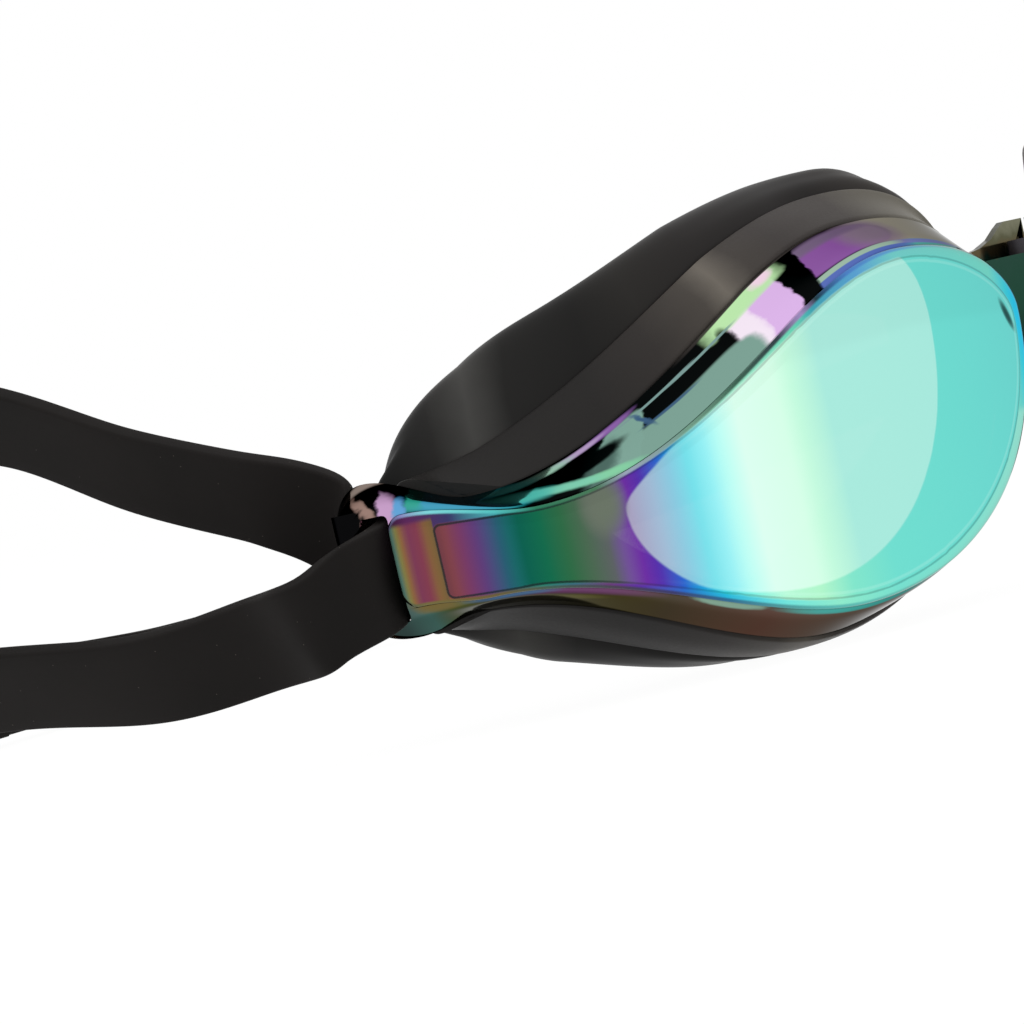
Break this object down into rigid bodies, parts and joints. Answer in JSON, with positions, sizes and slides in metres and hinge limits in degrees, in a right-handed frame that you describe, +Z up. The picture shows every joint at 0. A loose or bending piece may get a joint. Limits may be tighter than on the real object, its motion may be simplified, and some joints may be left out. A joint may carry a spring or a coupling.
{
  "type": "swim goggles",
  "caption": "Mirrored racing swim goggles with wrap-round lenses, soft face seals, a nose bridge and a split head strap.",
  "frame": {"origin": "on the resting surface, under the middle of the box around the goggles", "axes": "+Z up, the lenses face -Y, the wearer's right is at -X"},
  "size_m": [0.1824, 0.1846, 0.0457],
  "materials": {
    "mirror_lens": "glossy teal interference mirror on tinted polycarbonate",
    "seal_band": "satin firm elastomer",
    "face_seal": "satin soft silicone",
    "strap": "matte silicone",
    "nose_bridge": "satin translucent elastomer",
    "adjuster": "fine-textured nylon"
  },
  "bodies": {
    "bridge": {"nose_bridge": "nose_bridge"},
    "right_cup": {"lens_right": "mirror_lens", "seal_band_right": "seal_band", "face_seal_right": "face_seal"},
    "left_cup": {"lens_left": "mirror_lens", "seal_band_left": "seal_band", "face_seal_left": "face_seal"},
    "right_strap": {"strap_right": "strap"},
    "left_strap": {"strap_left": "strap"},
    "adjuster": {"strap_adjuster": "adjuster"}
  },
  "joints": [
    {"name": "right_cup_swing", "type": "hinge", "parent": "bridge", "child": "right_cup", "pos_m": [-0.00496, -0.08993, 0.029], "axis": [0, 0, 1], "range_deg": [-8, 8]},
    {"name": "left_cup_swing", "type": "hinge", "parent": "bridge", "child": "left_cup", "pos_m": [0.00545, -0.08993, 0.029], "axis": [0, 0, 1], "range_deg": [-8, 8]},
    {"name": "right_strap_swing", "type": "hinge", "parent": "right_cup", "child": "right_strap", "pos_m": [-0.07885, -0.05575, 0.0169], "axis": [0, 0, 1], "range_deg": [-8, 8]},
    {"name": "left_strap_swing", "type": "hinge", "parent": "left_cup", "child": "left_strap", "pos_m": [0.07934, -0.05575, 0.0169], "axis": [0, 0, 1], "range_deg": [-8, 8]},
    {"name": "adjuster_slide", "type": "slide", "parent": "right_strap", "child": "adjuster", "axis": [1, 0, 0], "range_m": [-0.005, 0.005]}
  ],
  "couplings": [
    {"joint": "left_cup_swing", "follows": "right_cup_swing", "ratio": -1},
    {"joint": "right_strap_swing", "follows": "right_cup_swing", "ratio": -1},
    {"joint": "left_strap_swing", "follows": "right_cup_swing", "ratio": 1}
  ]
}
